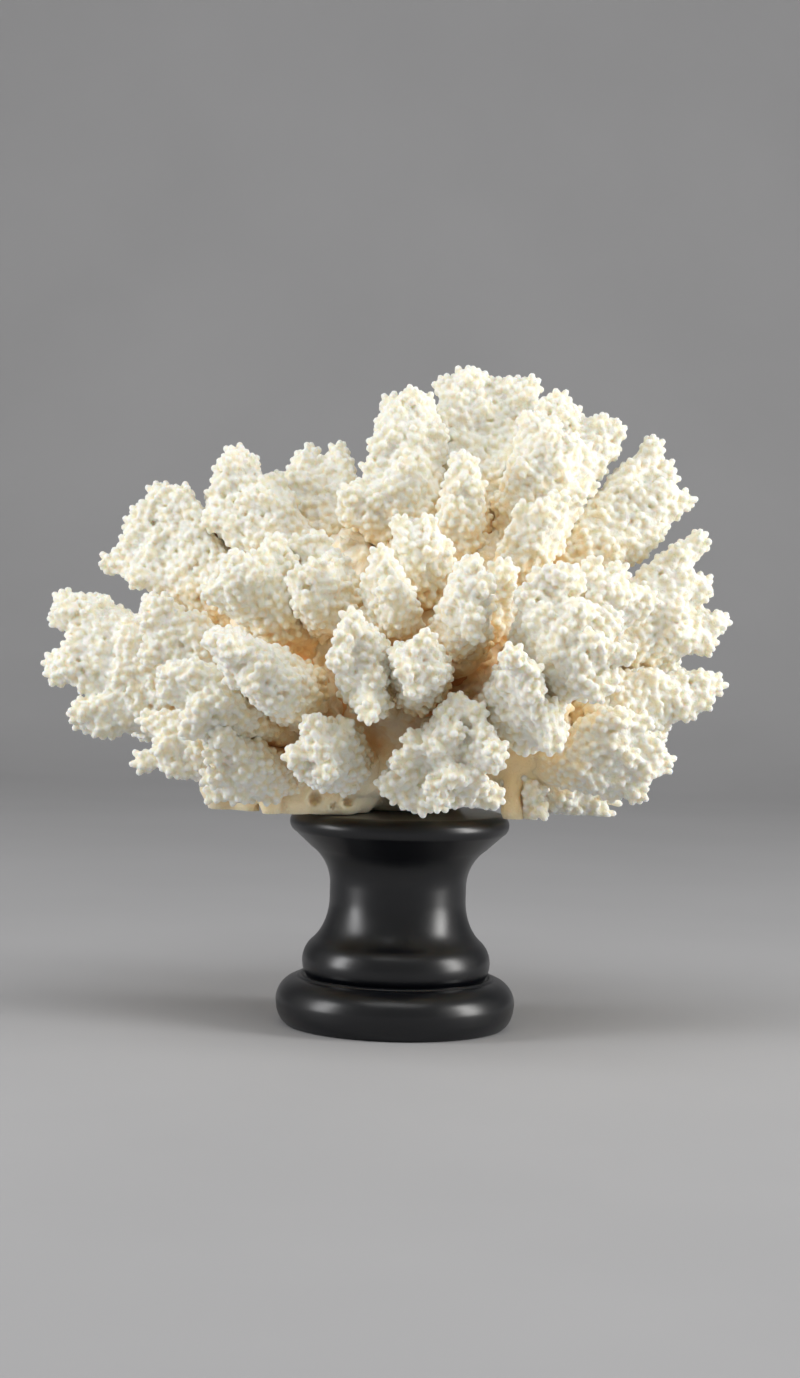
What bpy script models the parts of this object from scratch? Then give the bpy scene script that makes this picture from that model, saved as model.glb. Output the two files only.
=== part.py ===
"""A colony of branching coral, cut flat underneath, resting on a turned stand painted black.

All sizes below are in millimetres. The origin is the middle of the stand's foot, +Z is up and
-Y is the front of the colony.
"""

import math
import random

import bmesh
import bpy
from mathutils import Matrix, Vector

MM = 0.001

# The turned stand
STAND_HEIGHT = 64.2
STAND_SEGMENTS = 32
FOOT_RADIUS = 36.0
FOOT_CONTACT_RADIUS = 33.0
FOOT_ROUND = 7.5
WAIST_RADIUS = 20.5
WAIST_BOTTOM = 38.0
WAIST_TOP = 44.0
RIM_RADIUS = 33.0

# The coral
FLAT_CUT = STAND_HEIGHT + 0.3
GAP = 0.35
SHARPEST_CORNER = 1.5
FUSING_VOXEL = 1.1
LOST_IN_FUSING = 0.7
TRUNK_TRIANGLES = 460
TRIANGLES_A_LOBE = 12
TRIANGLES_A_SHAFT = 13
NECK_SHARE = 0.6
NECK_RADIUS_SHARE = 1.0
WEB_SHARE = 0.95
SEED = 7

# The trunk that every branch forks from, as (x, y, z, radius) lumps
TRUNK = [
    (0, 14, 88, 31), (-26, 2, 82, 21), (18, 8, 90, 20), (0, 28, 82, 21), (-19, -8, 74, 16),
    (-24, -12, 70, 11), (-44, 4, 76, 13), (4, 4, 108, 26), (-14, 4, 108, 22), (22, 2, 108, 22),
    (-24, 22, 80, 18), (22, 24, 86, 16), (16, -10, 90, 14), (0, -18, 98, 18), (24, -18, 102, 16),
    (-26, -16, 92, 16), (4, -14, 116, 17), (34, -6, 116, 17), (-34, -4, 110, 16), (46, -2, 104, 14),
    (-52, -2, 98, 13), (22, 2, 134, 15), (-16, 4, 132, 15), (46, 6, 128, 13), (-42, 2, 126, 12),
    (-38, -19, 74, 4.5), (-38, -19, 84, 5), (-36, -17, 94, 6),
]

# Every branch, as its fork, the radius of its shaft, and its lobes as (x, y, z, radius)
BRANCHES = {
    "branch_far_left": ((-24, 0, 90), 10, [
        (-100, 2, 121, 7), (-92, 4, 121, 6.5), (-101, -6, 105, 6.5), (-93, -2, 110, 7.5),
        (-95, -10, 92, 5.5), (-88, -8, 89.5, 5.5), (-81, -6, 92.5, 5.5), (-84, 0, 109, 6.5),
        (-83, -4, 99, 6),
    ]),
    "branch_upper_left": ((-16, 6, 100), 9, [
        (-74, 12, 155, 6.5), (-68, 8, 156, 5), (-81, 14, 150, 5.5), (-82, 12, 143, 4.5),
        (-88, 8, 136.5, 5), (-75, 12, 141.5, 7), (-66, 10, 147, 4.5), (-79, 4, 132.5, 4),
    ]),
    "branch_left_rib": ((-22, -6, 88), 7, [
        (-73, -20, 125, 5), (-74, -22, 118, 4.5), (-72, -22, 111, 4), (-67, -18, 120, 4.5),
    ]),
    "branch_left_tall": ((-10, 6, 108), 9, [
        (-51, 8, 166, 6.5), (-57, 6, 159.5, 5), (-57, 4, 151, 5.5), (-49, 6, 155, 5.5),
        (-41, 8, 163.5, 4), (-43.5, 2, 157, 4.5), (-51.5, 0, 145, 4),
    ]),
    "branch_left_rear": ((-4, 10, 110), 9, [
        (-32, 28, 169, 6), (-22, 26, 170, 5.5), (-26, 24, 161.5, 5.5), (-34, 24, 161, 5),
    ]),
    "branch_crown_left": ((8, 4, 116), 9, [
        (-6, 6, 182, 5.5), (2.5, 8, 186.5, 5.5), (-8, 4, 173, 5.5), (-10, 0, 165, 4),
        (-1, 4, 176, 6.5), (-17.5, -6, 159, 5), (-19, -8, 153.5, 3), (-10, -6, 157.5, 5),
        (-2, -4, 160.5, 5.5), (1.5, 0, 167.5, 5.5), (5, 4, 155, 7), (7, 8, 176, 6),
    ]),
    "branch_crown": ((12, 8, 118), 10, [
        (18, 20, 193, 7), (11, 18, 190.5, 5), (27, 20, 191.5, 5.5), (13.5, 16, 181.5, 7),
        (24, 16, 182, 7), (35, 18, 190, 6), (9, 12, 168, 6), (30, 14, 170, 6.5), (20, 12, 160, 7),
        (35, 12, 177, 6.5), (36, 8, 164, 6.5), (23, 4, 150, 8),
    ]),
    "branch_crown_front": ((12, 2, 116), 6.5, [
        (16, -12, 167.5, 5), (13, -14, 162, 4), (19.5, -14, 162, 4.5), (17, -12, 158, 3.5),
    ]),
    "branch_crown_right": ((18, 4, 114), 9, [
        (42.5, 10, 186.5, 6), (49, 8, 182.5, 5), (57.5, 8, 178.5, 6), (58.5, 4, 173, 4),
        (49.5, 2, 173, 6), (37.5, -4, 179, 6), (42, -8, 171, 5.5), (35.5, -8, 168, 5),
        (45.5, -8, 165, 4), (33, 2, 158, 6),
    ]),
    "branch_crown_low": ((18, -2, 112), 6.5, [
        (33.5, -24, 155, 4), (39, -24, 154, 4), (40.5, -24, 149, 2.5), (47, -20, 158.5, 3.5),
        (51.5, -16, 162, 2.5),
    ]),
    "branch_centre_top": ((6, -4, 110), 7, [
        (-2, -36, 149, 4.5), (5.5, -36, 149, 5), (10.5, -36, 144, 3), (1.5, -38, 143, 4.5),
        (6.5, -36, 142.5, 4),
    ]),
    "branch_centre_left": ((0, -8, 102), 7, [
        (-6.5, -50, 139, 5), (-10, -50, 134, 3), (-4, -54, 131.5, 5), (-1.5, -52, 125.5, 4),
        (-5.5, -50, 126, 3.5),
    ]),
    "branch_left_centre": ((-14, -6, 100), 8, [
        (-49, -38, 136, 5), (-55, -36, 130, 4), (-44, -40, 135, 4.5), (-47.5, -40, 129, 4.5),
        (-37.5, -30, 142, 4),
    ]),
    "branch_left_centre_up": ((-8, -6, 104), 8, [
        (-26, -26, 144, 5), (-31, -28, 141.5, 4), (-21, -28, 140.5, 3), (-31, -48, 133, 5),
        (-29.5, -48, 126.5, 4), (-26.5, -46, 132, 4),
    ]),
    "branch_front_left_up": ((-16, -12, 92), 8, [
        (-53.5, -60, 117, 4.5), (-46, -64, 114.5, 5), (-39.5, -64, 109, 4.5),
        (-33, -60, 104.5, 4), (-42, -64, 101, 3), (-36, -62, 99, 2.5), (-49, -62, 109, 3.5),
    ]),
    "branch_front_left": ((-20, -10, 86), 8, [
        (-63, -48, 105.5, 5.5), (-68.5, -46, 101, 3), (-56, -48, 107, 4), (-62, -50, 95.5, 3.5),
        (-54.5, -50, 100, 4.5), (-47, -48, 98.5, 3.5), (-60, -50, 88.5, 2.5),
    ]),
    "branch_lower_left": ((-26, -4, 80), 8, [
        (-74, -24, 91.5, 4.5), (-67, -28, 87, 5), (-74, -24, 80, 3.5), (-67.5, -28, 78.5, 3.5),
        (-62, -28, 75.5, 3), (-59.5, -30, 82.5, 4),
    ]),
    "branch_lower_left_front": ((-20, -10, 76), 7, [
        (-50, -46, 87.5, 4), (-54, -46, 84, 3), (-45.5, -44, 85, 3.5), (-45, -42, 77, 3.5),
        (-52, -42, 76.5, 4), (-54.5, -38, 70, 3), (-47, -38, 71.5, 3),
    ]),
    "branch_front_left_low": ((-8, -12, 78), 8, [
        (-25.5, -60, 91, 4.5), (-29, -58, 84, 3.5), (-22, -62, 85.5, 4.5), (-16, -56, 92, 3),
        (-28, -56, 78, 3), (-21, -58, 79, 3.5),
    ]),
    "branch_front_centre_left": ((-2, -12, 94), 7.5, [
        (-15, -68, 120, 5), (-18.5, -68, 115, 3.5), (-17.5, -68, 109.5, 2.5), (-9, -66, 117, 4.5),
        (-11, -64, 111.5, 3.5), (-8.5, -68, 103.5, 3.5), (-9.5, -68, 98, 2.5),
    ]),
    "branch_front_centre": ((6, -12, 94), 7, [
        (3, -72, 115.5, 4.5), (-2, -70, 114.5, 3), (7, -70, 115.5, 3.5), (9, -70, 110, 2),
        (2, -72, 109, 3.5), (2.5, -72, 104.5, 2),
    ]),
    "branch_centre_oval": ((14, -10, 100), 7, [
        (17, -62, 139, 4.5), (13.5, -64, 132.5, 3.5), (20, -64, 133, 4), (17.5, -66, 127, 4),
        (18.5, -64, 120.5, 3),
    ]),
    "branch_centre_right": ((18, -6, 104), 6.5, [
        (27.5, -40, 137.5, 5), (30, -40, 132, 3.5), (25.5, -38, 132, 3.5),
    ]),
    "branch_front_right": ((24, -12, 92), 9, [
        (38, -66, 134.5, 5), (46, -66, 136, 4.5), (34, -66, 130, 3.5), (47, -70, 126.5, 5.5),
        (55.5, -68, 123, 5), (58.5, -70, 115, 4.5), (53.5, -72, 107, 5), (47, -72, 110.5, 4.5),
        (42.5, -72, 117.5, 4.5), (51, -74, 117, 5),
    ]),
    "branch_front_right_low": ((16, -14, 86), 7, [
        (31, -78, 115.5, 4), (35.5, -78, 111.5, 2.5), (29, -76, 111, 2.5), (34, -74, 105, 2.5),
        (34.5, -70, 100.5, 3.5), (39.5, -68, 96, 3.5), (44, -66, 99, 3), (41, -66, 91, 3),
        (45, -66, 93, 2),
    ]),
    "branch_right_centre": ((22, -4, 102), 8, [
        (54.5, -36, 140.5, 4), (61, -34, 137, 4.5), (50.5, -38, 137, 3.5), (66, -32, 132.5, 3.5),
        (58, -38, 132, 4.5), (68, -30, 126.5, 4),
    ]),
    "branch_right_upper": ((20, 4, 106), 9, [
        (72, 8, 174.5, 4.5), (69, 8, 168, 5), (77, 8, 167, 5.5), (82.5, 6, 159.5, 5),
        (74.5, 4, 159, 6), (76, 0, 150.5, 3.5), (66.5, 4, 160, 5), (61, 4, 161.5, 4),
    ]),
    "branch_right": ((26, 0, 96), 9, [
        (84.5, -2, 145.5, 5), (78, -4, 142, 4), (89, 0, 134, 5), (80.5, -6, 133, 5.5),
        (93, 0, 124, 5), (88, -4, 118.5, 5.5), (78.5, -8, 122.5, 6.5), (74, -8, 130, 5.5),
    ]),
    "branch_right_lower": ((26, -2, 86), 9.5, [
        (92.5, -6, 106, 5), (85.5, -8, 103.5, 5.5), (79.5, -10, 98, 4.5), (76, -10, 104, 5.5),
        (88, -8, 99, 4), (70, -12, 107, 4.5), (70, -8, 98, 5),
    ]),
    "branch_lower_right": ((26, -8, 80), 8, [
        (58.5, -30, 95.5, 4.5), (67, -28, 93, 4.5), (73.5, -26, 86.5, 4.5), (76.5, -24, 80.5, 4),
        (69.5, -26, 82.5, 4.5), (71, -24, 74, 3), (63.5, -30, 84.5, 3),
    ]),
    "branch_right_foot": ((32, 6, 78), 7, [
        (52.5, 2, 85.5, 4), (59, 0, 78.5, 4.5), (60, 2, 70.5, 4), (65, 2, 69, 2.5),
        (49.5, 2, 76.5, 4), (50, 4, 69, 4), (60, 2, 64, 3.5), (50, 3, 63, 3.5),
    ]),
    "branch_foot_post": ((22, -2, 86), 6.5, [
        (40.5, 2, 81.5, 3.5), (42.5, 2, 73.5, 3.5), (39, 2, 68.5, 3.5), (44, 2, 69, 2.5),
        (34.5, 2, 70, 3.5), (38, 2, 63, 4),
    ]),
    "branch_front_foot": ((8, -12, 82), 8, [
        (14.5, -60, 99, 4.5), (21, -62, 96, 3.5), (23.5, -66, 89, 4), (27, -68, 86, 2),
        (12, -64, 90.5, 5), (3.5, -62, 89, 4), (0, -60, 82.5, 3.5), (-3, -56, 76.5, 2.5),
        (13.5, -62, 81, 4), (20.5, -62, 81, 3.5), (8.5, -60, 76, 3), (22, -60, 77, 2),
        (1, -54, 73.5, 3), (13, -54, 72, 2), (25, -50, 73.5, 2),
    ]),
}

# The branches that the front hides, as the fork, the radius of the shaft, the middle of the
# head, and how far its lobes spread
REAR_BRANCHES = {
    "branch_rear_far_left": ((-24, 8, 84), 10, (-78, 34, 97), 19),
    "branch_rear_left": ((-16, 10, 96), 10, (-63, 44, 127), 20),
    "branch_rear_upper_left": ((-6, 14, 106), 9, (-38, 52, 148), 18),
    "branch_rear_top": ((8, 14, 112), 10, (8, 54, 166), 21),
    "branch_rear_upper_right": ((18, 12, 106), 10, (50, 44, 152), 20),
    "branch_rear_right": ((22, 10, 96), 10, (76, 36, 124), 19),
    "branch_rear_far_right": ((28, 12, 86), 9, (76, 40, 92), 16),
    "branch_rear_middle_left": ((-6, 20, 92), 9, (-28, 71, 116), 18),
    "branch_rear_middle": ((4, 20, 98), 8, (0, 70, 134), 15),
    "branch_rear_middle_right": ((12, 20, 92), 9, (28, 71, 118), 18),
    "branch_rear_low_left": ((-14, 20, 82), 9, (-44, 58, 85), 17),
    "branch_rear_low": ((0, 24, 82), 9, (-4, 71, 86), 16),
    "branch_rear_low_right": ((16, 20, 82), 8, (33, 64, 87), 15),
}
REAR_LOBES = 8
REAR_LOBE_RADIUS = 5.6


def clear_scene():
    for obj in list(bpy.data.objects):
        bpy.data.objects.remove(obj)


def material(name, colour, roughness):
    made = bpy.data.materials.new(name)
    made.use_nodes = True
    shader = made.node_tree.nodes["Principled BSDF"]
    shader.inputs["Base Color"].default_value = (*colour, 1)
    shader.inputs["Roughness"].default_value = roughness
    shader.inputs["Metallic"].default_value = 0
    made.diffuse_color = (*colour, 1)
    return made


def add_object(name, bm, finish=None):
    mesh = bpy.data.meshes.new(name)
    bm.to_mesh(mesh)
    bm.free()
    obj = bpy.data.objects.new(name, mesh)
    bpy.context.scene.collection.objects.link(obj)
    if finish:
        mesh.materials.append(finish)
    return obj


def bake_modifiers(obj):
    """Replace the mesh by what the modifiers make of it, and take the modifiers off."""
    graph = bpy.context.evaluated_depsgraph_get()
    baked = bpy.data.meshes.new_from_object(obj.evaluated_get(graph))
    obj.modifiers.clear()
    obj.data = baked


# The stand

def arc(middle, radii, start, end, steps):
    """Points of an elliptical arc, from one angle to another in degrees."""
    points = []
    for step in range(steps + 1):
        angle = math.radians(start + (end - start) * step / steps)
        points.append((middle[0] + radii[0] * math.cos(angle), middle[1] + radii[1] * math.sin(angle)))
    return points


def stand_outline():
    """The stand's profile as (radius, height), from the middle of its foot up to the middle of its top."""
    foot_middle = FOOT_RADIUS - FOOT_ROUND
    outline = [(0, 0)]
    outline += arc((FOOT_CONTACT_RADIUS - 2, 7), (5, 7.64), -66.4, -20, 2)
    outline += arc((foot_middle, 7), (FOOT_ROUND, FOOT_ROUND), 0, 90, 4)
    outline += arc((WAIST_RADIUS, 21.5), (8.5, 9), -44, 45, 4)
    outline += arc((WAIST_RADIUS + 7, WAIST_BOTTOM), (7, 10), 220, 180, 2)
    outline += arc((WAIST_RADIUS + 14, WAIST_TOP), (14, 13), 180, 108, 4)
    outline += arc((RIM_RADIUS - 3.5, STAND_HEIGHT - 3.4), (3.5, 3.4), -38, 90, 4)
    outline.append((0, STAND_HEIGHT))
    return outline


def make_stand(finish):
    bm = bmesh.new()
    points = [bm.verts.new((radius * MM, 0, height * MM)) for radius, height in stand_outline()]
    edges = [bm.edges.new(pair) for pair in zip(points, points[1:])]
    bmesh.ops.spin(bm, geom=points + edges, axis=(0, 0, 1), cent=(0, 0, 0),
                   angle=math.tau, steps=STAND_SEGMENTS, use_merge=True)
    bmesh.ops.remove_doubles(bm, verts=bm.verts, dist=0.01 * MM)
    bmesh.ops.recalc_face_normals(bm, faces=bm.faces)
    for face in bm.faces:
        face.smooth = True
    return add_object("stand", bm, finish)


# The coral

def add_hull(bm, balls):
    """Add the convex hull of some balls: a tapered limb for two of them, a web for three."""
    hull = bmesh.new()
    for middle, radius in balls:
        bmesh.ops.create_icosphere(hull, subdivisions=2, radius=radius * MM,
                                   matrix=Matrix.Translation(middle * MM))
    bmesh.ops.delete(hull, geom=hull.edges, context="EDGES_FACES")
    made = bmesh.ops.convex_hull(hull, input=hull.verts)
    inside = {item for item in made["geom_interior"] + made["geom_unused"]
              if isinstance(item, bmesh.types.BMVert)}
    bmesh.ops.delete(hull, geom=list(inside), context="VERTS")
    mesh = bpy.data.meshes.new("hull")
    hull.to_mesh(mesh)
    hull.free()
    bm.from_mesh(mesh)
    bpy.data.meshes.remove(mesh)


def branch_limbs(fork, shaft, lobes):
    """A shaft from the fork to a neck, then lobes that bud from the nearest one, webbed to the neck."""
    bm = bmesh.new()
    fork = Vector(fork)
    beads = [(Vector(lobe[:3]), lobe[3] + LOST_IN_FUSING) for lobe in lobes]
    middle = sum((place for place, _ in beads), Vector()) / len(beads)
    neck = (fork.lerp(middle, NECK_SHARE), NECK_RADIUS_SHARE * shaft)
    add_hull(bm, [(fork, shaft), neck])
    grown = [neck]
    for place, radius in sorted(beads, key=lambda bead: (bead[0] - neck[0]).length):
        parent, parent_radius = min(grown, key=lambda bead: (bead[0] - place).length)
        parent_radius = min(parent_radius, 1.1 * radius)
        add_hull(bm, [(parent, parent_radius), (place, radius)])
        add_hull(bm, [neck, (parent, WEB_SHARE * parent_radius), (place, WEB_SHARE * radius)])
        grown.append((place, radius))
    return bm


def trunk_limbs():
    bm = bmesh.new()
    for *place, radius in TRUNK:
        bmesh.ops.create_icosphere(bm, subdivisions=3, radius=radius * MM,
                                   matrix=Matrix.Translation(Vector(place) * MM))
    return bm


def fuse(name, bm, triangles, finish):
    """Fuse overlapping limbs into one closed skin of about so many triangles."""
    obj = add_object(name, bm)
    remesh = obj.modifiers.new("fuse", "REMESH")
    remesh.mode = "VOXEL"
    remesh.voxel_size = FUSING_VOXEL * MM
    bake_modifiers(obj)
    soften = obj.modifiers.new("soften", "SMOOTH")
    soften.iterations = 2
    thin = obj.modifiers.new("thin", "DECIMATE")
    thin.ratio = triangles / (2 * len(obj.data.polygons))
    thin.use_collapse_triangulate = True
    bake_modifiers(obj)
    obj.data.materials.clear()
    obj.data.materials.append(finish)
    return obj


def rear_lobes(head, spread, chance):
    """Lobes of a head on the hidden side: one in the middle and a ring of others, facing outwards."""
    head = Vector(head)
    outwards = Vector((head.x, head.y, head.z - FLAT_CUT)).normalized()
    across = outwards.cross(Vector((0, 0, 1))).normalized()
    upwards = across.cross(outwards)
    lobes = [(*head, REAR_LOBE_RADIUS)]
    for index in range(REAR_LOBES):
        angle = math.tau * index / REAR_LOBES + chance.uniform(-0.3, 0.3)
        reach = spread * chance.uniform(0.55, 0.85)
        place = head + across * (0.75 * reach * math.cos(angle)) + upwards * (reach * math.sin(angle))
        place -= outwards * chance.uniform(0, 4)
        lobes.append((*place, REAR_LOBE_RADIUS * chance.uniform(0.75, 1.1)))
    return lobes


def inflated_copy(obj):
    """A cutter a little larger than the piece, so that its neighbour keeps a gap."""
    bm = bmesh.new()
    bm.from_mesh(obj.data)
    bm.normal_update()
    for vert in bm.verts:
        vert.co += vert.normal * (GAP * MM * min(SHARPEST_CORNER, vert.calc_shell_factor()))
    cutter = add_object("cutter_" + obj.name, bm)
    cutter.hide_render = True
    cutter.display_type = "WIRE"
    return cutter


def flat_cutter():
    """A block whose top is the plane on which the colony was cut from its reef."""
    bm = bmesh.new()
    bmesh.ops.create_cube(bm, size=400 * MM,
                          matrix=Matrix.Translation((0, 0, (FLAT_CUT - 200) * MM)))
    cutter = add_object("cutter_flat", bm)
    cutter.hide_render = True
    cutter.display_type = "WIRE"
    return cutter


def boxes_touch(first, second):
    corners = [[obj.matrix_world @ Vector(corner) for corner in obj.bound_box] for obj in (first, second)]
    return all(
        min(point[axis] for point in corners[0]) < max(point[axis] for point in corners[1])
        and min(point[axis] for point in corners[1]) < max(point[axis] for point in corners[0])
        for axis in range(3)
    )


def cut(obj, cutter):
    if not boxes_touch(obj, cutter):
        return
    boolean = obj.modifiers.new("cut", "BOOLEAN")
    boolean.operation = "DIFFERENCE"
    boolean.solver = "EXACT"
    boolean.object = cutter
    bake_modifiers(obj)


def keep_largest_island(obj):
    bm = bmesh.new()
    bm.from_mesh(obj.data)
    islands = []
    left = set(bm.verts)
    while left:
        island = set()
        open_ends = [left.pop()]
        while open_ends:
            vert = open_ends.pop()
            island.add(vert)
            for edge in vert.link_edges:
                other = edge.other_vert(vert)
                if other in left:
                    left.discard(other)
                    open_ends.append(other)
        islands.append(island)
    largest = max(islands, key=len)
    bmesh.ops.delete(bm, geom=[vert for vert in bm.verts if vert not in largest], context="VERTS")
    bmesh.ops.triangulate(bm, faces=bm.faces)
    bmesh.ops.dissolve_degenerate(bm, edges=bm.edges, dist=0.02 * MM)
    bmesh.ops.triangulate(bm, faces=bm.faces)
    bm.to_mesh(obj.data)
    bm.free()


def all_branches():
    """Every branch as its name, fork, shaft radius and lobes."""
    chance = random.Random(SEED)
    branches = [(name, *parts) for name, parts in BRANCHES.items()]
    for name, (fork, shaft, head, spread) in REAR_BRANCHES.items():
        branches.append((name, fork, shaft, rear_lobes(head, spread, chance)))
    return branches


def make_coral(finish):
    """The trunk first, then the branches, each cut clear of the pieces that are there already."""
    pieces = [fuse("coral_trunk", trunk_limbs(), TRUNK_TRIANGLES, finish)]
    for name, fork, shaft, lobes in all_branches():
        triangles = TRIANGLES_A_SHAFT + TRIANGLES_A_LOBE * len(lobes)
        pieces.append(fuse(name, branch_limbs(fork, shaft, lobes), triangles, finish))
    cutters = [inflated_copy(piece) for piece in pieces]
    underside = flat_cutter()
    bpy.context.view_layer.update()
    for index, piece in enumerate(pieces):
        cut(piece, underside)
        for cutter in cutters[:index]:
            cut(piece, cutter)
        keep_largest_island(piece)
    for cutter in [*cutters, underside]:
        bpy.data.objects.remove(cutter)


def main():
    clear_scene()
    make_stand(material("black paint", (0.012, 0.012, 0.013), 0.3))
    make_coral(material("coral", (0.86, 0.8, 0.7), 0.75))


main()
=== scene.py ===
"""The looks of the branching coral on its black turned stand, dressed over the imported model.

Lengths below are in millimetres, and MM turns them into metres. The coral's branches repeat the
lobes that the part's source gives, because the fine form has to grow from the same points. Only
the foot post has a few lobes more, in front. The studio's places and sizes are in metres.
"""

import math
import random
from collections import deque

import bmesh
import bpy
import numpy as np
from mathutils import Matrix, Vector, noise
from mathutils.bvhtree import BVHTree
from mathutils.kdtree import KDTree


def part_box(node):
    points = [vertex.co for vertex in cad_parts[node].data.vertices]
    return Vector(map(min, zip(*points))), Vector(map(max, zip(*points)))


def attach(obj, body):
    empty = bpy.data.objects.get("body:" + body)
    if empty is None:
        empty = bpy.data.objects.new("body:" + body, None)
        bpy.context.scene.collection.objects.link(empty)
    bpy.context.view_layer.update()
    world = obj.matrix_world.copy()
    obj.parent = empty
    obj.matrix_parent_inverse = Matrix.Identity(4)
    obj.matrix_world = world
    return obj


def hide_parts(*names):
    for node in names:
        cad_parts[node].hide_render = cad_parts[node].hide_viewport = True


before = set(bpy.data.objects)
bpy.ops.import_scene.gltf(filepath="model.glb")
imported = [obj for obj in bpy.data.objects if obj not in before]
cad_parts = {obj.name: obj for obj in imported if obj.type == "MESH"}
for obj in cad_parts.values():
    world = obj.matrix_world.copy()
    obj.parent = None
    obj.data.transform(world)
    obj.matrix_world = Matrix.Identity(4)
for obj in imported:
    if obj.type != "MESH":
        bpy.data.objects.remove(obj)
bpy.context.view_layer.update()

MM = 0.001
STAND_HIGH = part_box("stand")[1]
STAND_HEIGHT = STAND_HIGH.z / MM

# The photograph's camera: it stands 810 mm in front of the stand's axis
CAMERA_PLACE = (-1.05, -810.0, 135.0)
CAMERA_LENS = 70.54
CAMERA_PITCH = -2.4
CAMERA_ROLL = 1.6

# The stand's profile
FOOT_RADIUS = STAND_HIGH.x / MM
FOOT_CONTACT_RADIUS = FOOT_RADIUS - 3.0
FOOT_ROUND = 7.5
WAIST_RADIUS = 20.5
WAIST_BOTTOM = 38.0
WAIST_TOP = 42.0
RIM_RADIUS = 33.0
STAND_SEGMENTS = 160

# The coral's form: the flat cut, the skins' voxels, how often each skin is smoothed, and the
# triangles of all branches together
FLAT_CUT = STAND_HEIGHT + 0.3
FINE_VOXEL = 0.42
TRUNK_VOXEL = 0.8
COARSE_VOXEL = 1.2
KNOB_VOXEL = 0.6 * COARSE_VOXEL
COARSE_SMOOTHING = 2
KNOB_SMOOTHING = 4
FINE_SMOOTHING = 1
TRIANGLE_BUDGET = 930000

# How far the skin lies inside the solids, the thinnest a lobe gets by that, and how limbs, webs
# and stubs are drawn between lobes, as shares of a length or of a radius
SKIN_DEPTH = 2.3
THINNEST_LOBE = 1.2
HIDDEN_SHARE = 0.45
STUB_SHARE = 0.85
NECK_SHARE = 0.6
NECK_RADIUS_SHARE = 1.0
WEB_SHARE = 0.85
WEB_SET_BACK = 0.08
SHAFT_START_RADIUS_SHARE = 0.9
THICKEST_PARENT_SHARE = 1.1
STUB_RADIUS_SHARES = (1.05, 0.8)
RIB_TAPER = 0.8

# Two sizes of growth on the branch tips, as spacing, radius, height, lean outwards and how
# much they differ: knobs, and the small bumps that cover them
KNOBS = (5.4, 2.8, 2.1, 0.45, 0.2)
BUMPS = (2.0, 1.14, 1.75, 0.25, 0.06)
GROWTH_STARTS = 0.32
GROWTH_FULL = 0.7
GROWTH_CLOSED = 0.04
GROWTH_OPEN = 0.25
GROWTH_FOCUS = 0.3
LEAST_GROWTH = 0.12
AXIS_WOBBLE = 0.04
BLUNTNESS = 4.0
SEED = 11

# A bump's height grows with how squarely it faces outwards, and its radius with its size: the
# first share is the least, and up to the second is added to it
FACING_SHARES = (0.65, 0.65)
RADIUS_SHARES = (0.55, 0.45)

# How the bumps are packed and then pushed apart, as shares of their spacing
PACKING_REACH = 1.12
SETTLING_REACH = 1.25
SETTLING_PUSH = 0.4
SETTLING_ROUNDS = 3

# The height over the flat cut that counts as the trunk's head, for its growth and its colour
TRUNK_HEAD_HEIGHT = 42.0

# How far out the surface goes on getting paler, as a share of the way from fork to head
BRANCH_PALE = 1.2
TRUNK_PALE = 0.65

# Waves in the skin, as their length and height, with finer ones as shares of both
BRANCH_WAVES = (9.0, 1.3)
TRUNK_WAVES = (13.0, 2.6)
FINER_WAVES = (2.3, 0.5)

# How open a spot is to the light
OPEN_RAYS = 14
OPEN_START = 1.5
OPEN_REACH = 30.0
OPEN_SMOOTHING = 6

# The height under which a bump has no painted pale tip of its own; pale bump tops over darker gaps are
# painted shade
LEAST_TIP = 0.5

# The trunk that every branch forks from, as (x, y, z, radius) lumps
TRUNK = [
    (0, 14, 88, 31), (-26, 2, 82, 21), (18, 8, 90, 20), (0, 28, 82, 21), (-19, -8, 74, 16),
    (-24, -12, 70, 11), (-44, 4, 76, 13), (4, 4, 108, 26), (-14, 4, 108, 22), (22, 2, 108, 22),
    (-24, 22, 80, 18), (22, 24, 86, 16), (16, -10, 90, 14), (0, -18, 98, 18), (24, -18, 102, 16),
    (-26, -16, 92, 16), (4, -14, 116, 17), (34, -6, 116, 17), (-34, -4, 110, 16), (46, -2, 104, 14),
    (-52, -2, 98, 13), (22, 2, 134, 15), (-16, 4, 132, 15), (46, 6, 128, 13), (-42, 2, 126, 12),
    (-38, -19, 74, 4.5), (-38, -19, 84, 5), (-36, -17, 94, 6),
]

# Thin ribs and stumps on the trunk's foot, as the two ends and the radius of each
TRUNK_RIBS = [
    ((-39, -22, 66), (-37, -20, 96), 3.6), ((-31, -20, 66), (-29, -22, 88), 3.4),
    ((-45, -14, 64), (-46, -16, 84), 4.2), ((-52, -10, 64), (-56, -14, 80), 4.0),
    ((-12, -22, 74), (-14, -26, 92), 3.8), ((-4, -24, 80), (-4, -28, 98), 3.6),
    ((12, -22, 76), (14, -28, 96), 4.0), ((40, -10, 76), (46, -16, 98), 4.2),
    ((52, -8, 84), (58, -14, 98), 4.0), ((34, -17, 63), (31, -16, 92), 3.0),
]

# Worm holes in the broken edge, as x, z, radius and depth, and the y that all of them lie before
WORM_HOLES = [(-25.0, 69.4, 2.1, 3.5), (-15.6, 68.3, 1.6, 3.0), (-19.8, 67.0, 1.0, 1.6)]
WORM_HOLES_BEFORE = -8.0

# A worm hole's wall and the middle and width of its ring as shares of its radius, and the
# ring's height
HOLE_WALL = (0.5, 1.1)
RING_MIDDLE = 1.3
RING_WIDTH = 0.25
RING_HEIGHT = 0.6

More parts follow.
